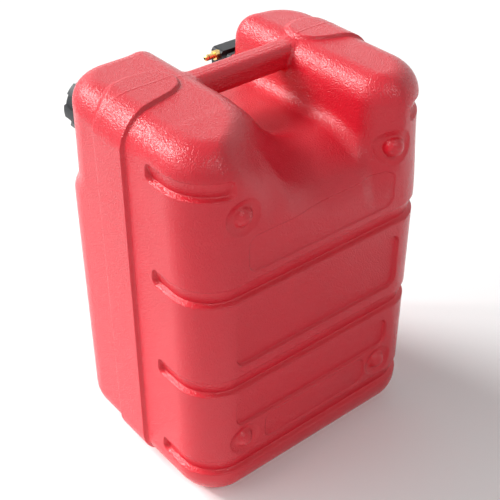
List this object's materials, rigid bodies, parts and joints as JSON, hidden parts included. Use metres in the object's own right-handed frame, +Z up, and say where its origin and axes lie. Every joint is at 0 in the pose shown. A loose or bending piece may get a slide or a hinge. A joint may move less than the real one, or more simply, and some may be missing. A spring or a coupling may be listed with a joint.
{
  "type": "outboard fuel tank",
  "caption": "Upright portable outboard fuel tank with carrying handle, vented screw filler cap, float gauge and quick-connect fuel outlet.",
  "frame": {"origin": "under the middle of the base, on the surface that the tank stands on", "axes": "+Z up, X along the carrying handle, -Y out of the broad front face that carries the filler cap and the fuel outlet, +Y out of the ribbed back face with the four domed feet"},
  "size_m": [0.266, 0.2405, 0.368],
  "materials": {
    "red_plastic": "moulded polyethylene with a fine pebble grain",
    "grey_plastic": "moulded glass-filled nylon, fine grain",
    "black_plastic": "smooth moulded acetal",
    "natural_plastic": "natural acetal",
    "clear_plastic": "clear polycarbonate",
    "dial_white": "printed dial face",
    "needle_orange": "moulded pointer",
    "float_foam": "closed-cell nitrile foam",
    "black_rubber": "nitrile rubber",
    "stainless_steel": "drawn and turned stainless steel",
    "brass": "turned brass"
  },
  "bodies": {
    "tank": {"tank_shell": "red_plastic", "head_gasket": "black_rubber", "gauge_head": "grey_plastic", "head_screws": "stainless_steel", "screw_inserts": "brass", "gauge_dial": "dial_white", "gauge_lens": "clear_plastic", "gauge_bezel": "black_plastic", "guide_rods": "stainless_steel", "guide_foot": "black_plastic", "pickup_tube": "natural_plastic", "pickup_strainer": "natural_plastic", "fuel_outlet": "brass", "outlet_ring": "black_rubber", "guide_pin": "stainless_steel"},
    "cap_ring": {"cap_gasket": "black_rubber"},
    "cap": {"filler_cap": "grey_plastic"},
    "vent_ring": {"vent_seal": "black_rubber"},
    "vent": {"vent_screw": "grey_plastic", "vent_clip": "stainless_steel"},
    "float": {"float_body": "float_foam", "float_driver": "black_plastic"},
    "indicator": {"twisted_strip": "stainless_steel", "gauge_needle": "needle_orange"}
  },
  "joints": [
    {"name": "cap_lift", "type": "slide", "parent": "tank", "child": "cap_ring", "axis": [0, -1, 0], "range_m": [0, 0.0136]},
    {"name": "cap_turn", "type": "hinge", "parent": "cap_ring", "child": "cap", "pos_m": [0.078, -0.11, 0.309], "axis": [0, -1, 0], "range_deg": [0, 810]},
    {"name": "vent_lift", "type": "slide", "parent": "cap", "child": "vent_ring", "axis": [0, -1, 0], "range_m": [0, 0.002]},
    {"name": "vent_turn", "type": "hinge", "parent": "vent_ring", "child": "vent", "pos_m": [0.078, -0.125, 0.309], "axis": [0, -1, 0], "range_deg": [0, 720.5]},
    {"name": "float_slide", "type": "slide", "parent": "tank", "child": "float", "axis": [0, -1, 0], "range_m": [0, 0.135]},
    {"name": "needle_turn", "type": "hinge", "parent": "tank", "child": "indicator", "pos_m": [-0.084, 0, 0.298], "axis": [0, 1, 0], "range_deg": [0, 270.5]}
  ],
  "couplings": [
    {"joint": "cap_lift", "follows": "cap_turn", "m_per_rad": 0.00095493},
    {"joint": "vent_turn", "follows": "vent_lift", "rad_per_m": 6283.2},
    {"joint": "needle_turn", "follows": "float_slide", "rad_per_m": 34.907}
  ]
}
